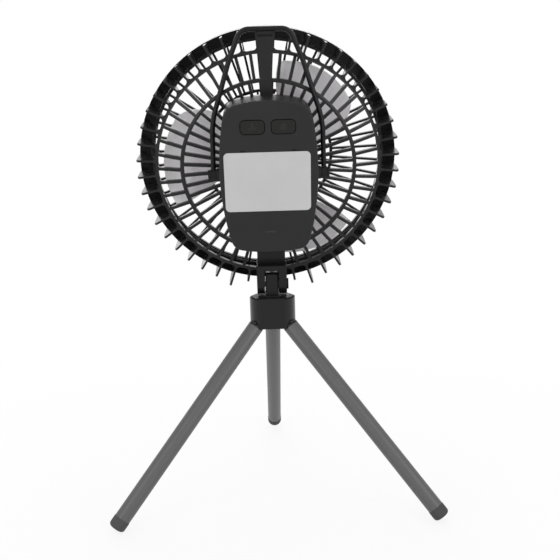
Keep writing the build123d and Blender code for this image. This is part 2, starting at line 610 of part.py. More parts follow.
# Pod housing: a tub behind the guard's middle plate, with bosses for its screws and for the bail
BOARD_FRONT = POD_JOINT_DEPTH - BOARD_THICKNESS
BOARD_Y = BUTTON_RISE - POD_DROP
BOARD_POSTS = [
    (x * (BOARD_WIDTH / 2 - POST_RADIUS), BOARD_Y + y * (BOARD_HEIGHT / 2 - POST_RADIUS))
    for x in (-1, 1) for y in (-1, 1)
]
USB_X = BOARD_WIDTH / 2
USB_Y = BOARD_Y - USB_DROP
USB_DEPTH = BOARD_FRONT - USB_HEIGHT / 2 - USB_SHELL
BAIL_EYE_START = BAIL_HALF_WIDTH - BAIL_EYE_THICKNESS / 2
with BuildPart() as pod_housing:
    extrude(pod_outline(PLATE_REAR), amount=POD_JOINT_DEPTH - PLATE_REAR)
    extrude(pod_outline(FLOOR_REAR, POD_WALL), amount=POD_JOINT_DEPTH, mode=Mode.SUBTRACT)
    with BuildSketch(HEAD.offset(PLATE_REAR)):
        with Locations(*pod_places(COVER_SCREW_SHARES)):
            Circle(BOSS_RADIUS)
    extrude(amount=POD_JOINT_DEPTH - PLATE_REAR)
    with BuildSketch(HEAD.offset(PLATE_REAR)):
        with Locations(*pod_places(GUARD_SCREW_SHARES)):
            Circle(BOSS_RADIUS)
    extrude(amount=GUARD_SCREW_LENGTH)
    with BuildSketch(HEAD.offset(PLATE_REAR)):
        with Locations(*BOARD_POSTS):
            Circle(POST_RADIUS)
    extrude(amount=BOARD_FRONT - PLATE_REAR)
    for x in (-BAIL_EYE_START + BAIL_SIDE_GAP, BAIL_EYE_START - BAIL_SIDE_GAP):
        with BuildSketch(side(x)):
            with Locations((BAIL_PIVOT_DEPTH, -BAIL_PIVOT_DROP)):
                Circle(BAIL_BOSS_RADIUS)
        extrude(amount=(BAIL_EYE_START - BAIL_SIDE_GAP - POD_HALF_WIDTH + POD_WALL) * (1 if x > 0 else -1))
        with BuildSketch(side(x)):
            with Locations((BAIL_PIVOT_DEPTH, -BAIL_PIVOT_DROP)):
                Circle(BAIL_PIN_RADIUS + SCREW_CLEARANCE)
        extrude(amount=OVERRUN, both=True, mode=Mode.SUBTRACT)
    with BuildSketch(HEAD.offset(PLATE_REAR - OVERRUN)):
        Circle(MOTOR_BOSS_RADIUS + SEAT_CLEARANCE)
        with Locations(*pod_places(GUARD_SCREW_SHARES), *FORK_SCREW_PLACES):
            Circle(COVER_SCREW_RADIUS + SCREW_CLEARANCE)
        with Locations(*MOTOR_SCREW_PLACES):
            Circle(MOTOR_SCREW_RADIUS + SCREW_CLEARANCE)
    extrude(amount=GUARD_SCREW_LENGTH + 2 * OVERRUN, mode=Mode.SUBTRACT)
    with BuildSketch(HEAD.offset(POD_JOINT_DEPTH - COVER_SCREW_LENGTH)):
        with Locations(*pod_places(COVER_SCREW_SHARES)):
            Circle(COVER_SCREW_RADIUS + SCREW_CLEARANCE)
    extrude(amount=COVER_SCREW_LENGTH + OVERRUN, mode=Mode.SUBTRACT)
    with BuildSketch(side()):
        with Locations((STEM_MIDDLE, -POD_HALF_HEIGHT - POD_DROP)):
            Rectangle(STEM_DEPTH + 2 * SEAT_CLEARANCE, 2 * (STEM_ENTRY + SEAT_CLEARANCE))
    extrude(amount=STEM_WIDTH / 2 + SEAT_CLEARANCE, both=True, mode=Mode.SUBTRACT)
    with BuildSketch(side(POD_HALF_WIDTH)):
        with Locations((USB_DEPTH, USB_Y)):
            SlotOverall(
                USB_WIDTH + 2 * (USB_SHELL + SEAT_CLEARANCE), USB_HEIGHT + 2 * (USB_SHELL + SEAT_CLEARANCE),
                rotation=90)
    extrude(amount=POD_HALF_WIDTH - USB_X - USB_SHELL, mode=Mode.SUBTRACT)
save(pod_housing, "pod_housing")

# Pod cover: the rear shell with its rounded edge, button openings and sunk screw holes
PLATE_INSIDE = POD_REAR_DEPTH - COVER_PLATE
BUTTON_PLACES = {
    "fan": (-BUTTON_SPACING / 2, BUTTON_RISE - POD_DROP),
    "light": (BUTTON_SPACING / 2, BUTTON_RISE - POD_DROP),
}
SCREW_SEAT = POD_REAR_DEPTH - COVER_SCREW_SINK - COVER_HEAD_HEIGHT
with BuildPart() as pod_cover:
    extrude(pod_outline(POD_JOINT_DEPTH), amount=POD_REAR_DEPTH - POD_JOINT_DEPTH)
    fillet(pod_cover.faces().sort_by(FAN_AXIS)[-1].edges(), COVER_ROUND)
    extrude(pod_outline(POD_JOINT_DEPTH, POD_WALL), amount=PLATE_INSIDE - POD_JOINT_DEPTH, mode=Mode.SUBTRACT)
    with BuildSketch(HEAD.offset(POD_JOINT_DEPTH)):
        with Locations(*pod_places(COVER_SCREW_SHARES)):
            Circle(BOSS_RADIUS)
    extrude(amount=PLATE_INSIDE - POD_JOINT_DEPTH)
    with BuildSketch(HEAD.offset(POD_JOINT_DEPTH)):
        with Locations(*pod_places(COVER_SCREW_SHARES)):
            Circle(COVER_SCREW_RADIUS + SCREW_CLEARANCE)
    extrude(amount=POD_REAR_DEPTH, mode=Mode.SUBTRACT)
    with BuildSketch(HEAD.offset(SCREW_SEAT)):
        with Locations(*pod_places(COVER_SCREW_SHARES)):
            Circle(COVER_HEAD_RADIUS + SEAT_CLEARANCE)
    extrude(amount=POD_REAR_DEPTH, mode=Mode.SUBTRACT)
    with BuildSketch(HEAD.offset(PLATE_INSIDE - OVERRUN)):
        with Locations(*BUTTON_PLACES.values()):
            RectangleRounded(
                BUTTON_WIDTH + 2 * BUTTON_GAP, BUTTON_HEIGHT + 2 * BUTTON_GAP, BUTTON_ROUND + BUTTON_GAP)
        with Locations((0, -INDICATOR_DROP - POD_DROP)):
            Rectangle(INDICATOR_WIDTH + 2 * SCREW_CLEARANCE, INDICATOR_HEIGHT + 2 * SCREW_CLEARANCE)
    extrude(amount=POD_REAR_DEPTH, mode=Mode.SUBTRACT)
save(pod_cover, "pod_cover")

# Screws: cover screws from the rear, guard and fork screws from the front
with BuildPart() as cover_screws:
    with BuildSketch(HEAD.offset(SCREW_SEAT)):
        with Locations(*pod_places(COVER_SCREW_SHARES)):
            Circle(COVER_HEAD_RADIUS)
    extrude(amount=COVER_HEAD_HEIGHT)
    with BuildSketch(HEAD.offset(POD_JOINT_DEPTH - COVER_SCREW_LENGTH + SEAT_CLEARANCE)):
        with Locations(*pod_places(COVER_SCREW_SHARES)):
            Circle(COVER_SCREW_RADIUS)
    extrude(amount=SCREW_SEAT - POD_JOINT_DEPTH + COVER_SCREW_LENGTH - SEAT_CLEARANCE)
save(cover_screws, "cover_screws")

for screws, places in (("guard_screws", pod_places(GUARD_SCREW_SHARES)), ("fork_screws", FORK_SCREW_PLACES)):
    with BuildPart() as front_screws:
        with BuildSketch(HEAD.offset(PLATE_FRONT - COVER_HEAD_HEIGHT)):
            with Locations(*places):
                Circle(COVER_HEAD_RADIUS)
        extrude(amount=COVER_HEAD_HEIGHT)
        with BuildSketch(HEAD.offset(PLATE_FRONT)):
            with Locations(*places):
                Circle(COVER_SCREW_RADIUS)
        extrude(amount=PLATE_REAR - PLATE_FRONT + GUARD_SCREW_LENGTH)
    save(front_screws, screws)

# Bare label plate and the indicator's light pipe on the cover
with BuildPart() as label_plate:
    with BuildSketch(HEAD.offset(POD_REAR_DEPTH)):
        with Locations((-LABEL_SHIFT, -LABEL_DROP - POD_DROP)):
            RectangleRounded(LABEL_WIDTH, LABEL_HEIGHT, LABEL_ROUND)
    extrude(amount=LABEL_THICKNESS)
save(label_plate, "label_plate")

with BuildPart() as indicator_lens:
    with BuildSketch(HEAD.offset(POD_REAR_DEPTH - INDICATOR_LENGTH)):
        with Locations((0, -INDICATOR_DROP - POD_DROP)):
            Rectangle(INDICATOR_WIDTH, INDICATOR_HEIGHT)
    extrude(amount=INDICATOR_LENGTH)
save(indicator_lens, "indicator_lens")

# Buttons: a domed cap with a flange that keeps it behind the cover
FLANGE_REAR = PLATE_INSIDE - SEAT_CLEARANCE
FLANGE_FRONT = FLANGE_REAR - BUTTON_FLANGE_THICKNESS
for button, place in BUTTON_PLACES.items():
    with BuildPart() as cap:
        with BuildSketch(HEAD.offset(FLANGE_REAR - SEAT_CLEARANCE)):
            with Locations(place):
                RectangleRounded(BUTTON_WIDTH, BUTTON_HEIGHT, BUTTON_ROUND)
        extrude(amount=POD_REAR_DEPTH + BUTTON_PROUD - FLANGE_REAR + SEAT_CLEARANCE)
        fillet(cap.faces().sort_by(FAN_AXIS)[-1].edges(), BUTTON_DOME)
        with BuildSketch(HEAD.offset(FLANGE_FRONT)):
            with Locations(place):
                RectangleRounded(
                    BUTTON_WIDTH + 2 * BUTTON_FLANGE, BUTTON_HEIGHT + 2 * BUTTON_FLANGE, BUTTON_ROUND)
        extrude(amount=BUTTON_FLANGE_THICKNESS)
    save(cap, f"button_{button}")

# Control board on its posts, the switches under the buttons and the charging socket at the side
SWITCH_TOP = BOARD_FRONT + BOARD_THICKNESS + SWITCH_HEIGHT
with BuildPart() as control_board:
    with BuildSketch(HEAD.offset(BOARD_FRONT)):
        with Locations((0, BOARD_Y)):
            Rectangle(BOARD_WIDTH, BOARD_HEIGHT)
    extrude(amount=BOARD_THICKNESS)
save(control_board, "control_board")

with BuildPart() as tact_switches:
    with BuildSketch(HEAD.offset(POD_JOINT_DEPTH)):
        with Locations(*BUTTON_PLACES.values()):
            Rectangle(SWITCH_WIDTH, SWITCH_WIDTH)
    extrude(amount=SWITCH_HEIGHT)
    with BuildSketch(HEAD.offset(SWITCH_TOP)):
        with Locations(*BUTTON_PLACES.values()):
            Circle(PLUNGER_RADIUS)
    extrude(amount=FLANGE_FRONT - BUTTON_TRAVEL - SEAT_CLEARANCE - SWITCH_TOP)
save(tact_switches, "tact_switches")

with BuildPart() as usb_socket:
    with BuildSketch(side(USB_X + USB_LENGTH)):
        with Locations((USB_DEPTH, USB_Y)):
            SlotOverall(USB_WIDTH + 2 * USB_SHELL, USB_HEIGHT + 2 * USB_SHELL, rotation=90)
    extrude(amount=USB_LENGTH)
    with BuildSketch(side(USB_X + USB_LENGTH)):
        with Locations((USB_DEPTH, USB_Y)):
            SlotOverall(USB_WIDTH, USB_HEIGHT, rotation=90)
            Rectangle(USB_TONGUE, USB_WIDTH - USB_HEIGHT, mode=Mode.SUBTRACT)
    extrude(amount=USB_LENGTH - USB_SHELL, mode=Mode.SUBTRACT)
save(usb_socket, "usb_socket")

# Battery pack on its foam pad
with BuildPart() as battery_pad:
    with BuildSketch(HEAD.offset(FLOOR_REAR)):
        with Locations((0, -BATTERY_DROP - POD_DROP)):
            Rectangle(BATTERY_WIDTH, BATTERY_HEIGHT)
    extrude(amount=BATTERY_PAD)
save(battery_pad, "battery_pad")

with BuildPart() as battery_pack:
    with BuildSketch(HEAD.offset(FLOOR_REAR + BATTERY_PAD)):
        with Locations((0, -BATTERY_DROP - POD_DROP)):
            Rectangle(BATTERY_WIDTH, BATTERY_HEIGHT)
    extrude(amount=BATTERY_THICKNESS)
    fillet(battery_pack.edges().filter_by(Axis(HEAD.origin, HEAD.y_dir)), BATTERY_ROUND)
save(battery_pack, "battery_pack")

# Motor: a can with two bushes, held by two screws through the guard's plate
MOTOR_FRONT = FLOOR_REAR
BUSH_REAR = MOTOR_REAR - MOTOR_WALL
with BuildPart() as motor_can:
    with BuildSketch(section()):
        Polygon(
            (BUSH_RADIUS + SCREW_CLEARANCE, PLATE_FRONT), (MOTOR_BOSS_RADIUS, PLATE_FRONT),
            (MOTOR_BOSS_RADIUS, MOTOR_FRONT), (MOTOR_RADIUS, MOTOR_FRONT), (MOTOR_RADIUS, MOTOR_REAR),
            (0, MOTOR_REAR), (0, BUSH_REAR), (BUSH_RADIUS + SCREW_CLEARANCE, BUSH_REAR),
            (BUSH_RADIUS + SCREW_CLEARANCE, BUSH_REAR - BUSH_LENGTH),
            (BUSH_RADIUS + MOTOR_WALL, BUSH_REAR - BUSH_LENGTH), (BUSH_RADIUS + MOTOR_WALL, BUSH_REAR),
            (MOTOR_RADIUS - MOTOR_WALL, BUSH_REAR), (MOTOR_RADIUS - MOTOR_WALL, MOTOR_FRONT + 2 * MOTOR_WALL),
            (BUSH_RADIUS + SCREW_CLEARANCE, MOTOR_FRONT + 2 * MOTOR_WALL), align=None,
        )
    revolve(axis=FAN_AXIS)
    with BuildSketch(HEAD.offset(MOTOR_FRONT)):
        with Locations(*MOTOR_SCREW_PLACES):
            Circle(MOTOR_SCREW_RADIUS + SCREW_CLEARANCE)
    extrude(amount=2 * MOTOR_WALL, mode=Mode.SUBTRACT)
save(motor_can, "motor_can")

with BuildPart() as motor_bushes:
    for start in (PLATE_FRONT + SEAT_CLEARANCE, BUSH_REAR - BUSH_LENGTH):
        with BuildSketch(HEAD.offset(start)):
            Circle(BUSH_RADIUS)
            Circle(SHAFT_RADIUS + RUN_CLEARANCE, mode=Mode.SUBTRACT)
        extrude(amount=BUSH_LENGTH)
save(motor_bushes, "motor_bushes")

with BuildPart() as motor_screws:
    with BuildSketch(HEAD.offset(PLATE_FRONT - COVER_HEAD_HEIGHT)):
        with Locations(*MOTOR_SCREW_PLACES):
            Circle(MOTOR_SCREW_HEAD)
    extrude(amount=COVER_HEAD_HEIGHT)
    with BuildSketch(HEAD.offset(PLATE_FRONT)):
        with Locations(*MOTOR_SCREW_PLACES):
            Circle(MOTOR_SCREW_RADIUS)
    extrude(amount=MOTOR_FRONT + 2 * MOTOR_WALL - PLATE_FRONT)
save(motor_screws, "motor_screws")

with BuildPart() as motor_shaft:
    with BuildSketch(HEAD.offset(SHAFT_FRONT)):
        Circle(SHAFT_RADIUS)
    extrude(amount=BUSH_REAR - SEAT_CLEARANCE - SHAFT_FRONT)
save(motor_shaft, "motor_shaft")

ROTOR_MIDDLE = (MOTOR_FRONT + 2 * MOTOR_WALL + BUSH_REAR - BUSH_LENGTH) / 2
with BuildPart() as motor_rotor:
    with BuildSketch(HEAD.offset(ROTOR_MIDDLE)):
        Circle(ROTOR_RADIUS)
        Circle(SHAFT_RADIUS + SCREW_CLEARANCE, mode=Mode.SUBTRACT)
    extrude(amount=ROTOR_LENGTH / 2, both=True)
save(motor_rotor, "motor_rotor")

# Fan blades: a cup hub with twisted cambered blades, trimmed to their petal outline
BLADE_HUB_FLOOR = BLADE_HUB_FRONT + 2 * BLADE_HUB_WALL


def turned(radius_share, angle):
    """Point of the blade's outline from a share of its radius and an angle from its middle line."""
    reach = BLADE_RADIUS * radius_share
    return (reach * cos(radians(angle)), reach * sin(radians(angle)))


def blade(angle):
    """One blade: a loft of cambered sections cut to the petal outline."""
    out = HEAD.x_dir * cos(radians(angle)) + HEAD.y_dir * sin(radians(angle))
    across = HEAD.z_dir.cross(out)
    with BuildPart() as petal:
        for reach_share, chord_share, slope in BLADE_SECTION_SHARES:
            foot = HEAD.origin + out * (BLADE_RADIUS * reach_share) + HEAD.z_dir * BLADE_MIDDLE
            half = BLADE_RADIUS * chord_share
            with BuildSketch(Plane(origin=foot, x_dir=across, z_dir=across.cross(HEAD.z_dir))):
                with BuildLine():
                    lower = ThreePointArc(
                        (-half, -half * slope), (0, BLADE_CAMBER - BLADE_THICKNESS), (half, half * slope))
                    upper = ThreePointArc(
                        (half, half * slope + BLADE_THICKNESS), (0, BLADE_CAMBER),
                        (-half, BLADE_THICKNESS - half * slope))
                    Line(lower @ 1, upper @ 0)
                    Line(upper @ 1, lower @ 0)
                make_face()
        loft()
        with BuildSketch(Plane(origin=HEAD.origin + HEAD.z_dir * (BLADE_MIDDLE - BLADE_RADIUS),
                               x_dir=out, z_dir=HEAD.z_dir)) as outline:
            with BuildLine():
                trail = Spline(*[turned(*point) for point in BLADE_TRAIL_SHARES])
                lead = Spline(*[turned(*point) for point in BLADE_LEAD_SHARES])
                tip_angle = (BLADE_TRAIL_SHARES[-1][1] + BLADE_LEAD_SHARES[0][1]) / 2
                ThreePointArc(trail @ 1, turned(1, tip_angle), lead @ 0)
                Line(lead @ 1, trail @ 0)
            make_face()
            fillet(outline.vertices().group_by(Axis.X)[-1], BLADE_ROUND)
        extrude(amount=2 * BLADE_RADIUS, mode=Mode.INTERSECT)
    return petal.part


with BuildPart() as fan_blades:
    with BuildSketch(section()):
        Polygon(
            (0, BLADE_HUB_FRONT), (BLADE_HUB_RADIUS, BLADE_HUB_FRONT), (BLADE_HUB_RADIUS, BLADE_HUB_REAR),
            (BLADE_HUB_RADIUS - BLADE_HUB_WALL, BLADE_HUB_REAR),
            (BLADE_HUB_RADIUS - BLADE_HUB_WALL, BLADE_HUB_FLOOR), (BLADE_BOSS_RADIUS, BLADE_HUB_FLOOR),
            (BLADE_BOSS_RADIUS, BLADE_HUB_REAR),
            (0, BLADE_HUB_REAR), align=None,
        )
    revolve(axis=FAN_AXIS)
    fillet(fan_blades.faces().sort_by(FAN_AXIS)[0].edges(), BLADE_HUB_ROUND)
    for number in range(BLADE_COUNT):
        add(blade(BLADE_ANGLE + 360 / BLADE_COUNT * number))
    with BuildSketch(section()):
        Polygon(
            (BLADE_BOSS_RADIUS, BLADE_HUB_FLOOR), (BLADE_HUB_RADIUS - BLADE_HUB_WALL, BLADE_HUB_FLOOR),
            (BLADE_HUB_RADIUS - BLADE_HUB_WALL, OVERRUN), (BLADE_BOSS_RADIUS, OVERRUN), align=None,
        )
    revolve(axis=FAN_AXIS, mode=Mode.SUBTRACT)
    with BuildSketch(HEAD.offset(SHAFT_FRONT - SEAT_CLEARANCE)):
        Circle(SHAFT_RADIUS + SCREW_CLEARANCE)
    extrude(amount=-SHAFT_FRONT + OVERRUN, mode=Mode.SUBTRACT)
save(fan_blades, "fan_blades")

# Lamp ring in the hollow of the band: a flat ring board, its LEDs and the diffuser that closes the band
LAMP_INNER = THROAT_RADIUS + BAND_WALL
LAMP_BOARD_REAR = THROAT_DEPTH - BAND_WALL - SEAT_CLEARANCE
LAMP_BOARD_FRONT = LAMP_BOARD_REAR - LAMP_BOARD_THICKNESS
with BuildPart() as lamp_board:
    with BuildSketch(HEAD.offset(LAMP_BOARD_FRONT)):
        Circle(BAND_INSIDE - LAMP_GAP)
        Circle(LAMP_INNER + LAMP_GAP, mode=Mode.SUBTRACT)
    extrude(amount=LAMP_BOARD_THICKNESS)
save(lamp_board, "lamp_board")

with BuildPart() as lamp_leds:
    with BuildSketch(HEAD.offset(LAMP_BOARD_FRONT - LED_HEIGHT)):
        with PolarLocations((LAMP_INNER + BAND_INSIDE) / 2, LED_COUNT):
            Rectangle(LED_WIDTH, LED_LENGTH)
    extrude(amount=LED_HEIGHT)
save(lamp_leds, "lamp_leds")

with BuildPart() as lamp_diffuser:
    with BuildSketch(HEAD.offset(BAND_FRONT - DIFFUSER_THICKNESS)):
        Circle(BARREL_RADIUS)
        Circle(THROAT_RADIUS, mode=Mode.SUBTRACT)
    extrude(amount=DIFFUSER_THICKNESS)
    fillet(lamp_diffuser.faces().sort_by(FAN_AXIS)[0].edges(), DIFFUSER_EDGE)
save(lamp_diffuser, "lamp_diffuser")

# Front guard: a shallow dome of straight bars inside the lamp ring, with a plain middle cap
FRONT_OUTER = THROAT_RADIUS - SEAT_CLEARANCE
FRONT_INNER = FRONT_OUTER - FRONT_RING_WIDTH
DOME_TOP = FRONT_RING_FRONT - FRONT_RISE
DOME_SHOULDER = FRONT_RING_FRONT - FRONT_RISE * FRONT_SHOULDER_SHARE
with BuildPart() as front_guard:
    with BuildSketch(section()):
        Polygon(
            (0, DOME_TOP), (FRONT_CAP_RADIUS, DOME_TOP), (FRONT_MIDDLE_RADIUS, DOME_SHOULDER),
            (FRONT_OUTER, FRONT_RING_FRONT), (FRONT_OUTER, FRONT_RING_REAR), (FRONT_INNER, FRONT_RING_REAR),
            (FRONT_INNER, FRONT_RING_FRONT + FRONT_THICKNESS),
            (FRONT_MIDDLE_RADIUS, DOME_SHOULDER + FRONT_THICKNESS),
            (FRONT_CAP_RADIUS, DOME_TOP + FRONT_THICKNESS), (0, DOME_TOP + FRONT_THICKNESS), align=None,
        )
    revolve(axis=FAN_AXIS)
    extrude(
        spoke_windows(DOME_TOP - OVERRUN, FRONT_MIDDLE_RADIUS + FRONT_MIDDLE_WIDTH / 2,
                      FRONT_INNER - FRONT_BAR_WIDTH / 2, FRONT_BAR_WIDTH, BAR_COUNT, 90),
        amount=FRONT_RISE + FRONT_THICKNESS + 2 * OVERRUN, mode=Mode.SUBTRACT)
    extrude(
        spoke_windows(DOME_TOP - OVERRUN, FRONT_CAP_RADIUS + FRONT_BAR_WIDTH,
                      FRONT_MIDDLE_RADIUS - FRONT_MIDDLE_WIDTH / 2, FRONT_BAR_WIDTH, FRONT_INNER_COUNT, 90),
        amount=FRONT_RISE + FRONT_THICKNESS + 2 * OVERRUN, mode=Mode.SUBTRACT)
save(front_guard, "front_guard")

# Bail: one bent wire with an eye at each end, on two shouldered pins in the pod's sides
BAIL_LEAN = (BAIL_PIVOT_DEPTH - BAIL_TOP_DEPTH) / (BAIL_TOP + BAIL_PIVOT_DROP)
BAIL_UP = (HEAD.y_dir - HEAD.z_dir * BAIL_LEAN).normalized()
BAIL_ORIGIN = HEAD.origin - HEAD.y_dir * BAIL_PIVOT_DROP + HEAD.z_dir * BAIL_PIVOT_DEPTH
BAIL_PLANE = Plane(origin=BAIL_ORIGIN, x_dir=HEAD.x_dir, z_dir=HEAD.x_dir.cross(BAIL_UP))
BAIL_LENGTH = hypot(BAIL_TOP + BAIL_PIVOT_DROP, BAIL_PIVOT_DEPTH - BAIL_TOP_DEPTH)
BAIL_SIDE = [
    (BAIL_HALF_WIDTH, 0),
    (BAIL_HALF_WIDTH * BAIL_SHOULDER_SHARES[0], BAIL_LENGTH * BAIL_SHOULDER_SHARES[1]),
    (BAIL_HALF_WIDTH * BAIL_TAPER_SHARES[0], BAIL_LENGTH * BAIL_TAPER_SHARES[1]),
    (BAIL_TOP_HALF, BAIL_LENGTH),
]
BAIL_BENDS = [BAIL_SIDE_BEND, BAIL_TAPER_BEND, BAIL_TOP_BEND]
with BuildPart() as bail:
    with BuildLine(BAIL_PLANE) as wire:
        FilletPolyline(
            *[(-x, y) for x, y in BAIL_SIDE], *BAIL_SIDE[::-1],
            radius=[*BAIL_BENDS, *BAIL_BENDS[::-1]])
    with BuildSketch(Plane(origin=wire.line @ 0, z_dir=wire.line % 0)):
        Circle(BAIL_WIRE_RADIUS)
    sweep(path=wire.line)
    for x in (-BAIL_HALF_WIDTH, BAIL_HALF_WIDTH):
        with BuildSketch(side(x)):
            with Locations((BAIL_PIVOT_DEPTH, -BAIL_PIVOT_DROP)):
                Circle(BAIL_EYE_RADIUS)
        extrude(amount=BAIL_EYE_THICKNESS / 2, both=True)
    for x in (-BAIL_HALF_WIDTH, BAIL_HALF_WIDTH):
        with BuildSketch(side(x)):
            with Locations((BAIL_PIVOT_DEPTH, -BAIL_PIVOT_DROP)):
                Circle(BAIL_PIN_RADIUS + RUN_CLEARANCE)
        extrude(amount=BAIL_EYE_THICKNESS, both=True, mode=Mode.SUBTRACT)
save(bail, "bail")

BAIL_PIN_END = BAIL_HALF_WIDTH + BAIL_EYE_THICKNESS / 2 + BAIL_SIDE_GAP
with BuildPart() as bail_pins:
    for way in (-1, 1):
        with BuildSketch(side(way * (BAIL_PIN_END + BAIL_PIN_HEAD_HEIGHT))):
            with Locations((BAIL_PIVOT_DEPTH, -BAIL_PIVOT_DROP)):
                Circle(BAIL_PIN_HEAD)
        extrude(amount=way * BAIL_PIN_HEAD_HEIGHT)
        with BuildSketch(side(way * BAIL_PIN_END)):
            with Locations((BAIL_PIVOT_DEPTH, -BAIL_PIVOT_DROP)):
                Circle(BAIL_PIN_RADIUS)
        extrude(amount=way * (BAIL_PIN_END - POD_HALF_WIDTH + POD_WALL))
save(bail_pins, "bail_pins")
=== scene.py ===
"""Small rechargeable tripod fan, dressed for a studio picture from behind."""
from math import cos, pi, radians, sin

import bpy
import numpy as np
from mathutils import Matrix, Vector


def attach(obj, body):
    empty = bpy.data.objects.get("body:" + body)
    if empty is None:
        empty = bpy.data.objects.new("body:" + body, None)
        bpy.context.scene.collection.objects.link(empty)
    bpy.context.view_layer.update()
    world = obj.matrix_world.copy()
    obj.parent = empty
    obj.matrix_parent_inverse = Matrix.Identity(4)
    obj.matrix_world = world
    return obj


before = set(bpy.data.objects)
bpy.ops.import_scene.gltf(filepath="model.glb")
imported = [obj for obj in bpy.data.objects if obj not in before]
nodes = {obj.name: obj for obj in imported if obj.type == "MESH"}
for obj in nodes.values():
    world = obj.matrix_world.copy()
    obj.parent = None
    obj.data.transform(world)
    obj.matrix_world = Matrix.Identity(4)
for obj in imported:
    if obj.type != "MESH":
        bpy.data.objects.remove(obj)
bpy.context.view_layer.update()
MM = 0.001

# The head's own frame: across, up the tilted head, and towards the rear
HEAD_TILT = radians(11.0)
HEAD_CENTRE = np.array((0.0, 4.2915, 235.199)) * MM
ACROSS = np.array((1.0, 0.0, 0.0))
UPWARD = np.array((0.0, -sin(HEAD_TILT), cos(HEAD_TILT)))
REARWARD = np.array((0.0, -cos(HEAD_TILT), -sin(HEAD_TILT)))


def on_head(x, up, depth):
    """Points in the shared frame, from head sizes in millimetres: centre + x across + up upward + depth rearward."""
    x, up, depth = np.broadcast_arrays(x, up, depth)
    return HEAD_CENTRE + MM * (x[..., None] * ACROSS + up[..., None] * UPWARD + depth[..., None] * REARWARD)


# Materials. Texture scales are in cells per metre, and reliefs and edges in metres.

NOISE_LOW, NOISE_HIGH = 0.3, 0.7    # the middle of a noise, which is spread over the whole range
CLOUD_SCALE = 38.0                  # slow colour change in moulded plastic
MOULDED_RELIEF = 0.00006
MOULDED_SWING = 0.07                # roughness either side of its middle
BRUSHED_RELIEF = 0.00003
BRUSHED_DEPTH = 0.12
BRUSHED_SWING = 0.06
BEVEL_SAMPLES = 4
EVEN = (1.0, 1.0, 1.0)              # a texture that isn't stretched


def finish(name, colour, roughness, metallic=0.0, specular=0.5):
    """A new material, its node tree and its shader, with plain values on the shader."""
    material = bpy.data.materials.new(name)
    material.use_nodes = True
    tree = material.node_tree
    shader = tree.nodes["Principled BSDF"]
    shader.inputs["Base Color"].default_value = (*colour, 1.0)
    shader.inputs["Roughness"].default_value = roughness
    shader.inputs["Metallic"].default_value = metallic
    shader.inputs["Specular IOR Level"].default_value = specular
    return material, tree, shader


def noise(tree, scale, detail, stretch=EVEN, roughness=0.5):
    """A noise texture on object coordinates, stretched by axis."""
    place = tree.nodes.new("ShaderNodeTexCoord")
    mapping = tree.nodes.new("ShaderNodeMapping")
    mapping.inputs["Scale"].default_value = stretch
    texture = tree.nodes.new("ShaderNodeTexNoise")
    texture.inputs["Scale"].default_value = scale
    texture.inputs["Detail"].default_value = detail
    texture.inputs["Roughness"].default_value = roughness
    tree.links.new(place.outputs["Object"], mapping.inputs["Vector"])
    tree.links.new(mapping.outputs["Vector"], texture.inputs["Vector"])
    return texture.outputs["Fac"]


def ramp(tree, value, low, high):
    """A grey value spread from one number to another over the middle of a noise."""
    spread = tree.nodes.new("ShaderNodeMapRange")
    spread.inputs["From Min"].default_value = NOISE_LOW
    spread.inputs["From Max"].default_value = NOISE_HIGH
    spread.inputs["To Min"].default_value = low
    spread.inputs["To Max"].default_value = high
    tree.links.new(value, spread.inputs["Value"])
    return spread.outputs["Result"]


def tint(tree, shader, value, dark, light):
    """The shader's colour, between two by the middle of a noise."""
    mix = tree.nodes.new("ShaderNodeMix")
    mix.data_type = "RGBA"
    mix.inputs["A"].default_value = (*dark, 1.0)
    mix.inputs["B"].default_value = (*light, 1.0)
    tree.links.new(ramp(tree, value, 0.0, 1.0), mix.inputs["Factor"])
    tree.links.new(mix.outputs["Result"], shader.inputs["Base Color"])


def relief(tree, shader, height, depth, distance, edge):
    """Bump from a height value on top of edges softened by a radius."""
    bump = tree.nodes.new("ShaderNodeBump")
    bump.inputs["Strength"].default_value = depth
    bump.inputs["Distance"].default_value = distance
    tree.links.new(height, bump.inputs["Height"])
    if edge:
        bevel = tree.nodes.new("ShaderNodeBevel")
        bevel.samples = BEVEL_SAMPLES
        bevel.inputs["Radius"].default_value = edge
        tree.links.new(bevel.outputs["Normal"], bump.inputs["Normal"])
    tree.links.new(bump.outputs["Normal"], shader.inputs["Normal"])


def moulded(name, dark, light, roughness, grain=2600.0, depth=0.18, edge=0.0004, specular=0.5):
    """Moulded plastic: slow cloudy colour, a fine grain in the bump, and roughness that follows the grain."""
    material, tree, shader = finish(name, dark, roughness, specular=specular)
    cloud = noise(tree, CLOUD_SCALE, 3.0)
    fine = noise(tree, grain, 2.0, roughness=0.6)
    tint(tree, shader, cloud, dark, light)
    swing = ramp(tree, fine, roughness - MOULDED_SWING, roughness + MOULDED_SWING)
    tree.links.new(swing, shader.inputs["Roughness"])
    relief(tree, shader, fine, depth, MOULDED_RELIEF, edge)
    return material


def brushed(name, dark, light, roughness, metallic, stretch=EVEN, edge=0.0002, grain=900.0, specular=0.5):
    """Metal or paint with a grain, drawn along one axis by stretch, in colour, roughness and bump."""
    material, tree, shader = finish(name, light, roughness, metallic, specular)
    drawn = noise(tree, grain, 3.0, stretch)
    tint(tree, shader, drawn, dark, light)
    swing = ramp(tree, drawn, roughness - BRUSHED_SWING, roughness + BRUSHED_SWING)
    tree.links.new(swing, shader.inputs["Roughness"])
    relief(tree, shader, drawn, BRUSHED_DEPTH, BRUSHED_RELIEF, edge)
    return material


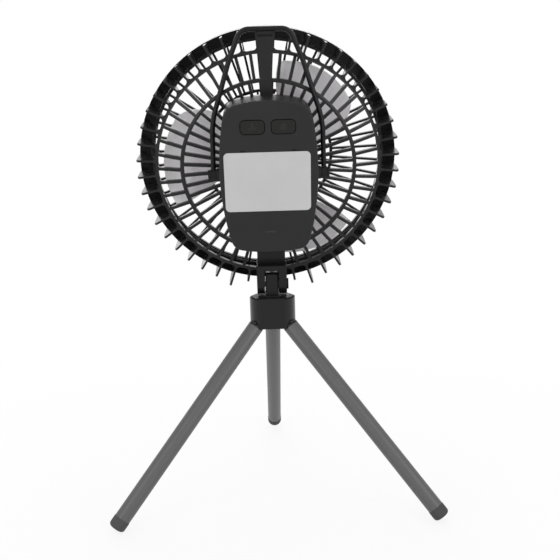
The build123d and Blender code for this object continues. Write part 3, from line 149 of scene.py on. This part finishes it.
def milky(name, colour):
    """Milky diffuser plastic: light scattered under the surface, with a slow cloud in colour and roughness."""
    material, tree, shader = finish(name, colour, 0.42)
    shader.inputs["Subsurface Weight"].default_value = 0.35
    shader.inputs["Subsurface Radius"].default_value = (0.004, 0.004, 0.004)
    cloud = noise(tree, 60.0, 2.0)
    tree.links.new(ramp(tree, cloud, 0.36, 0.48), shader.inputs["Roughness"])
    tint(tree, shader, cloud, colour, tuple(c * 0.95 for c in colour))
    return material


guard_black = moulded("guard_black", (0.0125, 0.0125, 0.0129), (0.016, 0.016, 0.0164), 0.24, specular=0.2)
pod_grey = moulded("pod_grey", (0.0115, 0.0115, 0.0122), (0.0145, 0.0145, 0.0152), 0.46,
                   depth=0.25, specular=0.25)
neck_grey = moulded("neck_grey", (0.0062, 0.0062, 0.0065), (0.0082, 0.0082, 0.0086), 0.34, specular=0.2)
hub_grey = moulded("hub_grey", (0.0052, 0.0052, 0.0054), (0.0068, 0.0068, 0.007), 0.26,
                   depth=0.14, specular=0.25)
key_grey = moulded("key_grey", (0.0095, 0.0097, 0.0078), (0.012, 0.0122, 0.01), 0.4, depth=0.1, specular=0.2)
mark_grey = moulded("mark_grey", (0.016, 0.0163, 0.0138), (0.0185, 0.0188, 0.016), 0.36,
                    depth=0.06, edge=0.0, specular=0.2)
foot_rubber = moulded("foot_rubber", (0.05, 0.05, 0.052), (0.068, 0.068, 0.07), 0.7,
                      grain=1500.0, depth=0.35, specular=0.3)
foam_grey = moulded("foam_grey", (0.03, 0.03, 0.032), (0.06, 0.06, 0.062), 0.9, grain=1100.0, depth=0.6)
board_green = moulded("board_green", (0.015, 0.075, 0.03), (0.02, 0.1, 0.045), 0.4, depth=0.05)
cell_blue = moulded("cell_blue", (0.03, 0.1, 0.32), (0.04, 0.13, 0.38), 0.35, depth=0.05)
board_white = moulded("board_white", (0.72, 0.72, 0.72), (0.8, 0.8, 0.8), 0.4, depth=0.05)
phosphor = moulded("phosphor", (0.8, 0.68, 0.2), (0.86, 0.76, 0.3), 0.35, depth=0.05)
lens_milk = moulded("lens_milk", (0.022, 0.022, 0.0235), (0.03, 0.03, 0.0315), 0.3, depth=0.05, specular=0.3)
label_silver = moulded("label_silver", (0.46, 0.46, 0.463), (0.49, 0.49, 0.493), 0.42,
                       grain=1400.0, depth=0.08, edge=0.0002, specular=0.3)
diffuser_milk = milky("diffuser_milk", (0.6, 0.6, 0.585))

# The blades are thin enough for light to come through
blade_lilac = moulded("blade_lilac", (0.84, 0.805, 0.84), (0.9, 0.865, 0.9), 0.36, grain=900.0, depth=0.05)
blade_shader = blade_lilac.node_tree.nodes["Principled BSDF"]
blade_shader.inputs["Subsurface Weight"].default_value = 0.85
blade_shader.inputs["Subsurface Radius"].default_value = (1.0, 1.0, 1.0)
blade_shader.inputs["Subsurface Scale"].default_value = 0.004

leg_grey = brushed("leg_grey", (0.088, 0.088, 0.09), (0.106, 0.106, 0.108), 0.4, 0.1, grain=2400.0, specular=0.4)
zinc = brushed("zinc", (0.42, 0.42, 0.43), (0.6, 0.6, 0.61), 0.32, 1.0)
wire_black = brushed("wire_black", (0.0055, 0.0055, 0.0058), (0.0075, 0.0075, 0.0078), 0.3, 0.0,
                     stretch=(1.0, 1.0, 0.15), specular=0.2)
brass = brushed("brass", (0.6, 0.42, 0.17), (0.75, 0.55, 0.25), 0.35, 1.0)
iron = brushed("iron", (0.12, 0.12, 0.12), (0.2, 0.2, 0.2), 0.5, 0.9)

# A node takes the finish of the longest name here that it starts with, and the small metal pieces left are zinc
FINISHES = {
    "rear_guard": guard_black, "front_guard": guard_black, "pod_cover": pod_grey, "pod_housing": pod_grey,
    "neck_fork": neck_grey, "neck_knuckle": neck_grey, "tripod_hub": hub_grey, "leg_knuckle": hub_grey,
    "leg_tube": leg_grey, "leg_foot": foot_rubber, "label_plate": label_silver, "indicator_lens": lens_milk,
    "button": key_grey, "fan_blades": blade_lilac, "lamp_diffuser": diffuser_milk, "lamp_board": board_white,
    "lamp_leds": phosphor, "control_board": board_green, "tact_switches": guard_black, "battery_pack": cell_blue,
    "battery_pad": foam_grey, "tilt_pads": foam_grey, "bail_pins": wire_black, "bail": wire_black,
    "motor_bushes": brass, "motor_rotor": iron, "tilt_bolt": wire_black, "cover_screws": wire_black,
}
for name, node in nodes.items():
    match = max((key for key in FINISHES if name.startswith(key)), key=len, default=None)
    node.data.materials.clear()
    node.data.materials.append(FINISHES[match] if match else zinc)


# Marks on the keys, in millimetres on the head

KEY_RISE, KEY_TOP, KEY_SIDE = 32.5, 29.6, 10.05    # up the head, out to the keys' top, and to each side
MARK_POINTS = 144
MARK_HEIGHTS = np.array((-0.04, 0.06, 0.09, 0.1))[:, None]    # from the keys' top, the first sunk into the key
MARK_SHRINK = np.array((1.0, 1.0, 0.97, 0.9))[:, None]


def surface(name, points, material, body):
    """A closed grid surface: rows by columns of points, each row a closed loop, capped at both ends."""
    rows, columns = points.shape[:2]
    here = np.arange(rows * columns).reshape(rows, columns)
    following = np.roll(here, -1, axis=1)
    quads = np.stack([here[:-1], following[:-1], following[1:], here[1:]], -1).reshape(-1, 4)
    faces = [*quads.tolist(), here[0, ::-1].tolist(), here[-1].tolist()]
    mesh = bpy.data.meshes.new(name)
    mesh.from_pydata(points.reshape(-1, 3).tolist(), [], faces)
    mesh.materials.append(material)
    piece = bpy.data.objects.new(name, mesh)
    bpy.context.collection.objects.link(piece)
    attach(piece, body)


def key_mark(name, x, lobes, reach, waist, body):
    """A low raised mark on a key: a lobed outline, radius = reach * (waist + (1 - waist) * cos(lobes * (angle -
    pi / 2))), carried up through four heights and drawn in a little at the top."""
    angle = np.linspace(0.0, 2.0 * pi, MARK_POINTS, endpoint=False)
    radius = reach * (waist + (1.0 - waist) * np.cos(lobes * (angle - pi / 2.0)))
    outline_x = x + MARK_SHRINK * radius * np.cos(angle)
    outline_up = KEY_RISE + MARK_SHRINK * radius * np.sin(angle)
    surface(name, on_head(outline_x, outline_up, KEY_TOP + MARK_HEIGHTS), mark_grey, body)


key_mark("fan_mark", -KEY_SIDE, 3, 3.0, 0.6, "fan_key")
key_mark("lamp_mark", KEY_SIDE, 10, 2.6, 0.88, "light_key")


# Stage: a pale floor, an even white sky, four soft lamps, and the camera behind the fan. Lengths in metres.

FLOOR_SIZE, FLOOR_DROP = 6.0, 0.0002
SHADOW_SHARE = 0.15                     # how much of the lit floor is kept under the fan
SHADOW_START, SHADOW_END = 0.12, 0.45   # distances from the fan over which it fades out
SKY_LIGHT, SKY_SEEN = 0.62, 1.0         # the sky's strength as light, and as it is seen


def seen_rays(tree):
    """1 for camera, glossy and transmission rays, which show a surface as it is, and 0 for the rest."""
    rays = tree.nodes.new("ShaderNodeLightPath")
    value = rays.outputs["Is Camera Ray"]
    for kind in ("Is Glossy Ray", "Is Transmission Ray"):
        either = tree.nodes.new("ShaderNodeMath")
        either.operation = "MAXIMUM"
        tree.links.new(value, either.inputs[0])
        tree.links.new(rays.outputs[kind], either.inputs[1])
        value = either.outputs[0]
    return value


def stage_white(name):
    """White for the rays that see the floor. A share of the lit floor is kept under the fan for its shadow, and it
    fades out with the distance from the fan."""
    material, tree, shader = finish(name, (0.9, 0.9, 0.9), 0.9)
    place = tree.nodes.new("ShaderNodeTexCoord")
    distance = tree.nodes.new("ShaderNodeVectorMath")
    distance.operation = "LENGTH"
    fade = tree.nodes.new("ShaderNodeMapRange")
    fade.interpolation_type = "SMOOTHSTEP"
    fade.inputs["From Min"].default_value = SHADOW_START
    fade.inputs["From Max"].default_value = SHADOW_END
    fade.inputs["To Min"].default_value = 1.0 - SHADOW_SHARE
    fade.inputs["To Max"].default_value = 1.0
    share = tree.nodes.new("ShaderNodeMath")
    share.operation = "MULTIPLY"
    glow = tree.nodes.new("ShaderNodeEmission")
    mix = tree.nodes.new("ShaderNodeMixShader")
    tree.links.new(place.outputs["Object"], distance.inputs[0])
    tree.links.new(distance.outputs["Value"], fade.inputs["Value"])
    tree.links.new(seen_rays(tree), share.inputs[0])
    tree.links.new(fade.outputs["Result"], share.inputs[1])
    tree.links.new(share.outputs[0], mix.inputs["Fac"])
    tree.links.new(shader.outputs["BSDF"], mix.inputs[1])
    tree.links.new(glow.outputs["Emission"], mix.inputs[2])
    tree.links.new(mix.outputs["Shader"], tree.nodes["Material Output"].inputs["Surface"])
    return material


bpy.ops.mesh.primitive_plane_add(size=FLOOR_SIZE, location=(0.0, 0.0, -FLOOR_DROP))
floor = bpy.context.object
floor.name = "floor"
floor.data.materials.append(stage_white("floor_white"))

world = bpy.context.scene.world or bpy.data.worlds.new("studio")
bpy.context.scene.world = world
world.use_nodes = True
sky = world.node_tree
sky_light = sky.nodes["Background"]
sky_light.inputs["Color"].default_value = (1.0, 1.0, 1.0, 1.0)
sky_strength = sky.nodes.new("ShaderNodeMapRange")
sky_strength.inputs["To Min"].default_value = SKY_LIGHT
sky_strength.inputs["To Max"].default_value = SKY_SEEN
sky.links.new(seen_rays(sky), sky_strength.inputs["Value"])
sky.links.new(sky_strength.outputs["Result"], sky_light.inputs["Strength"])

# Square area lamps: place, the point each is turned to, side length, and power in watts
LAMPS = {
    "key_lamp": ((0.75, -0.85, 0.5), (0.0, 0.0, 0.22), 0.8, 4.2),
    "fill_lamp": ((-0.75, -0.85, 0.5), (0.0, 0.0, 0.22), 0.8, 3.4),
    "top_lamp": ((0.0, 0.45, 1.0), (0.0, 0.0, 0.25), 0.8, 2.0),
    "front_lamp": ((-0.1, 0.95, 0.55), (0.0, 0.0, 0.22), 0.9, 3.2),
}
for name, (place, target, size, power) in LAMPS.items():
    light = bpy.data.lights.new(name, "AREA")
    light.size = size
    light.energy = power
    holder = bpy.data.objects.new(name, light)
    holder.location = place
    holder.rotation_euler = (Vector(target) - Vector(place)).to_track_quat("-Z", "Y").to_euler()
    bpy.context.collection.objects.link(holder)

# The camera, fitted to the photograph: pitch down, yaw to the right, and roll
CAMERA_PLACE = (-5.48 * MM, -571.82 * MM, 268.5 * MM)
CAMERA_PITCH, CAMERA_YAW, CAMERA_ROLL = radians(11.226), radians(1.126), radians(1.57)
FOCAL_PIXELS, FRAME_PIXELS = 827.0, 560.0
SENSOR_WIDTH = 36.0    # in millimetres, as the camera has it
CLIP_START = 0.01
UP = Vector((0.0, 0.0, 1.0))
ahead = Vector((sin(CAMERA_YAW), cos(CAMERA_YAW), 0.0))
right = Vector((cos(CAMERA_YAW), -sin(CAMERA_YAW), 0.0))
forward = ahead * cos(CAMERA_PITCH) - UP * sin(CAMERA_PITCH)
upright = ahead * sin(CAMERA_PITCH) + UP * cos(CAMERA_PITCH)
side = right * cos(CAMERA_ROLL) - upright * sin(CAMERA_ROLL)
above = right * sin(CAMERA_ROLL) + upright * cos(CAMERA_ROLL)
camera = bpy.data.objects.new("camera", bpy.data.cameras.new("camera"))
camera.data.sensor_width = SENSOR_WIDTH
camera.data.lens = FOCAL_PIXELS / FRAME_PIXELS * SENSOR_WIDTH
camera.data.clip_start = CLIP_START
turn = Matrix((side, above, -forward)).transposed()
camera.matrix_world = Matrix.Translation(CAMERA_PLACE) @ turn.to_4x4()
bpy.context.collection.objects.link(camera)
bpy.context.scene.camera = camera
bpy.context.scene.view_settings.view_transform = "Standard"
